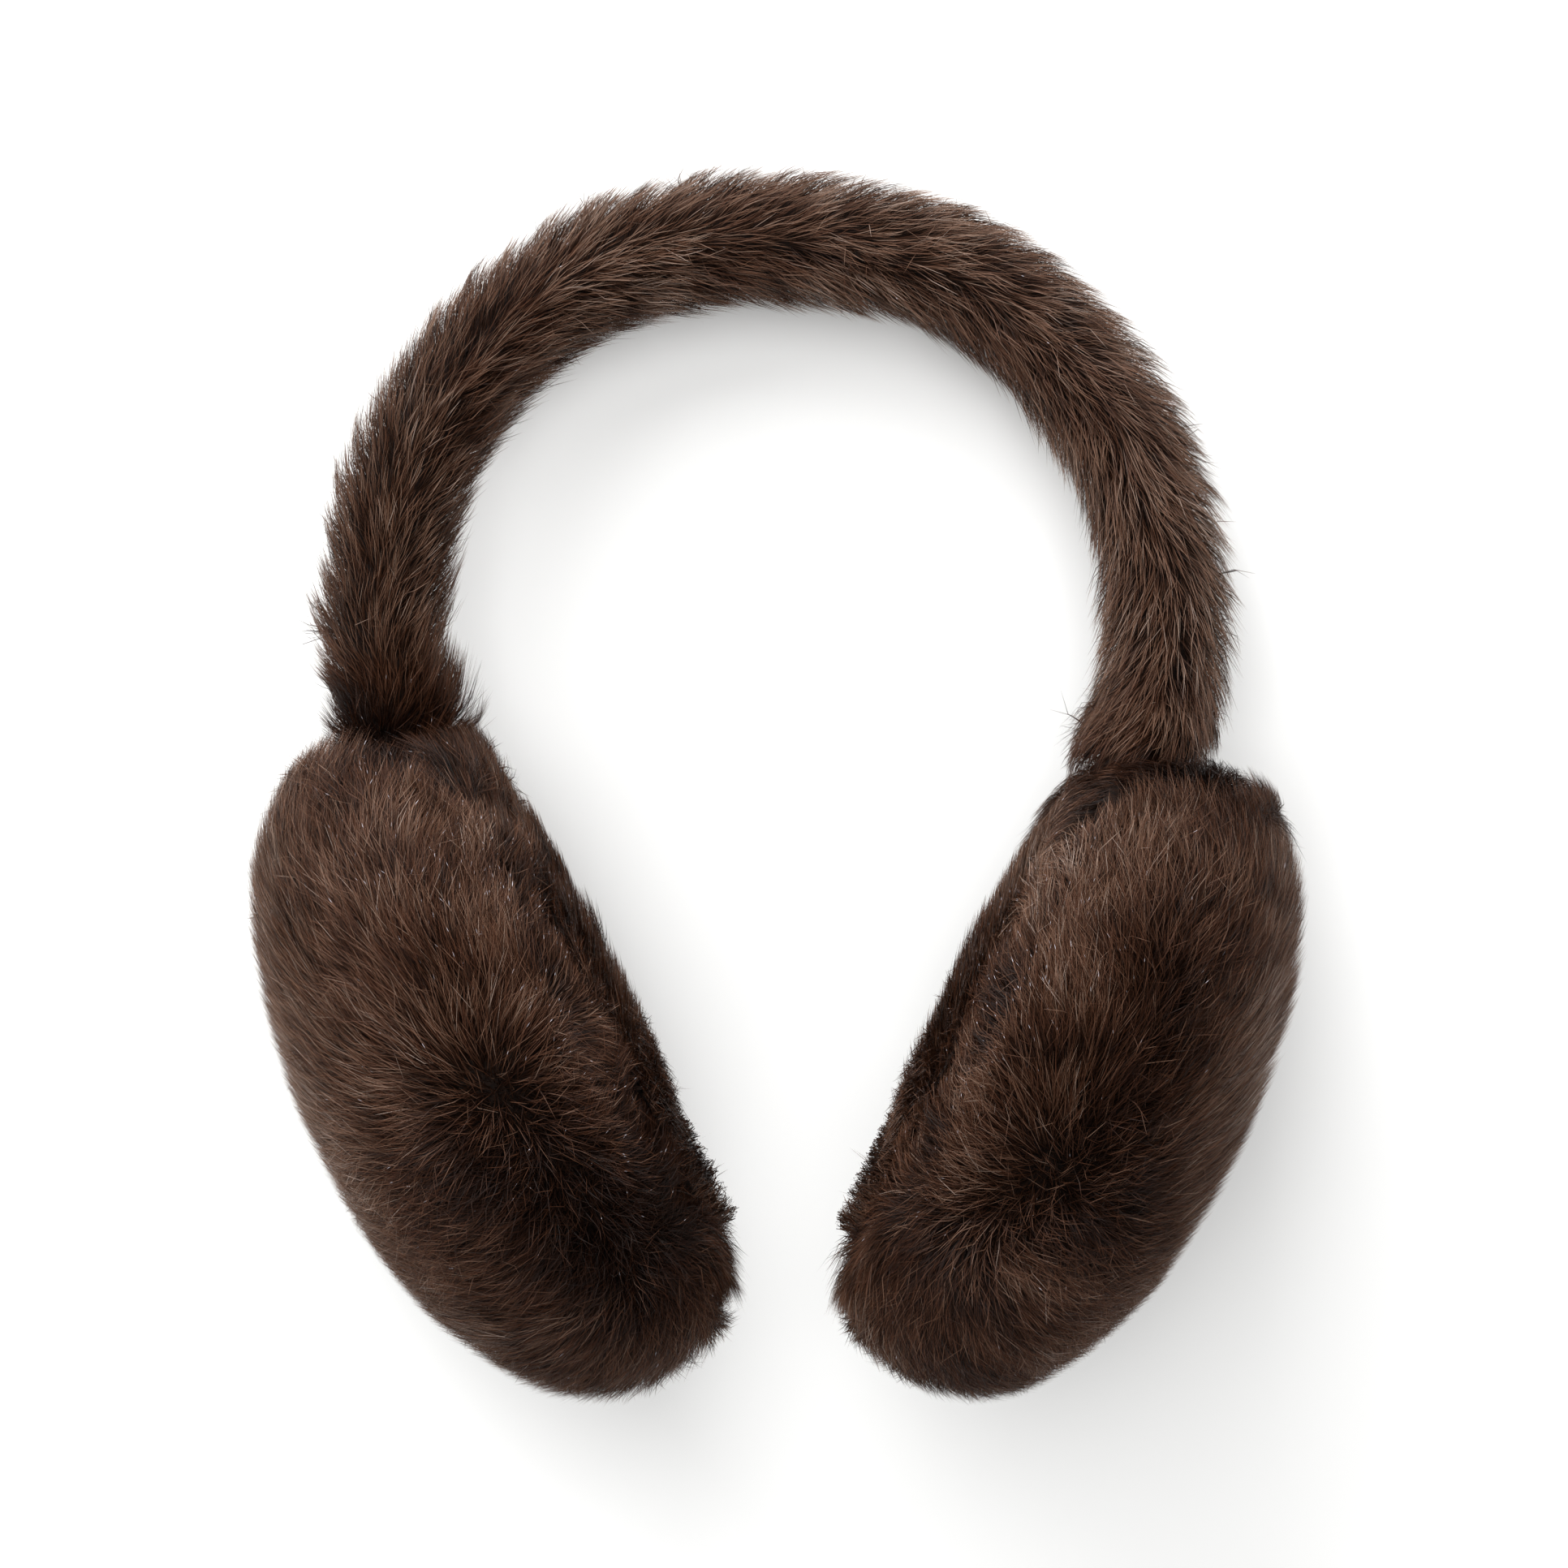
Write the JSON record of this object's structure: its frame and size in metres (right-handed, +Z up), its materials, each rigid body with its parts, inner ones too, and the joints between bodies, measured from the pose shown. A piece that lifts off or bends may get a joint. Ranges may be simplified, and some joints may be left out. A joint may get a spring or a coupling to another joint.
{
  "type": "fur earmuffs",
  "caption": "Over-the-head earmuffs in deep brown faux fur: an arched furry headband that runs down into round, lens-shaped ear pads with domed plush cushions on the inside",
  "frame": {"origin": "bottom centre of the earmuffs' box, on the surface that they lie on", "axes": "X from the left pad to the right one, Y from the pads toward the crown, Z up; the arch lies on its back, 18 degrees off the surface, crown down"},
  "size_m": [0.184, 0.2072, 0.12],
  "materials": {
    "headband_fur": "long-pile faux fur",
    "pad_fur": "long-pile faux fur",
    "cushion_plush": "short-pile plush"
  },
  "bodies": {
    "root": {"headband": "headband_fur", "pad_cover_left": "pad_fur", "pad_cover_right": "pad_fur", "ear_cushion_left": "cushion_plush", "ear_cushion_right": "cushion_plush"}
  },
  "joints": []
}
